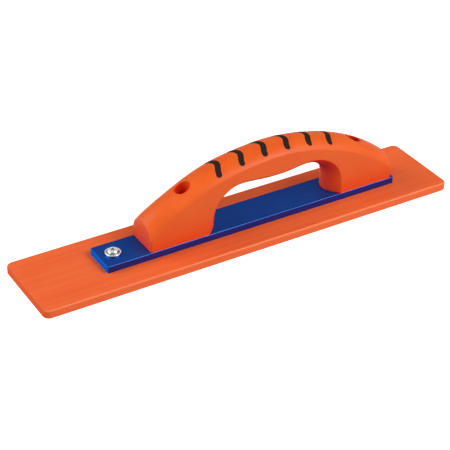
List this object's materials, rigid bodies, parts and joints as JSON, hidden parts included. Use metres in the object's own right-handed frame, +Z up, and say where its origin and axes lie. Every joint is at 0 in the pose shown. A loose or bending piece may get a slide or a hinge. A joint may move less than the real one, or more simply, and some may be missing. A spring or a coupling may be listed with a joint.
{
  "type": "hand float",
  "caption": "Long flat hand float for concrete: resin blade, blue metal rail riveted and screwed to it, and an arched moulded grip with soft inlays and an open hand gap.",
  "frame": {"origin": "centre of the blade's working face, which is the flat underside", "axes": "+X along the blade towards the heel, +Y across it, +Z up from the working face to the grip"},
  "size_m": [0.4064, 0.0826, 0.0784],
  "materials": {
    "blade_resin": "orange resin with a faint lengthwise grain, satin",
    "anodised_rail": "blue anodised, fine lengthwise brushing",
    "grip_plastic": "orange moulded plastic, fine satin texture",
    "inlay_rubber": "black soft rubber, matte",
    "zinc_steel": "zinc plated",
    "insert_brass": "machined",
    "rivet_aluminium": "bright, lightly polished",
    "mandrel_steel": "snapped wire, dull"
  },
  "bodies": {
    "root": {"blade": "blade_resin", "rail": "anodised_rail", "handle": "grip_plastic", "grip_inlay_1": "inlay_rubber", "grip_inlay_2": "inlay_rubber", "grip_inlay_3": "inlay_rubber", "grip_inlay_4": "inlay_rubber", "grip_inlay_5": "inlay_rubber", "grip_inlay_6": "inlay_rubber", "handle_screw_front": "zinc_steel", "handle_screw_rear": "zinc_steel", "handle_washer_front": "zinc_steel", "handle_washer_rear": "zinc_steel", "blade_insert_front": "insert_brass", "blade_insert_rear": "insert_brass", "toe_rivet": "rivet_aluminium", "toe_rivet_mandrel": "mandrel_steel"}
  },
  "joints": []
}
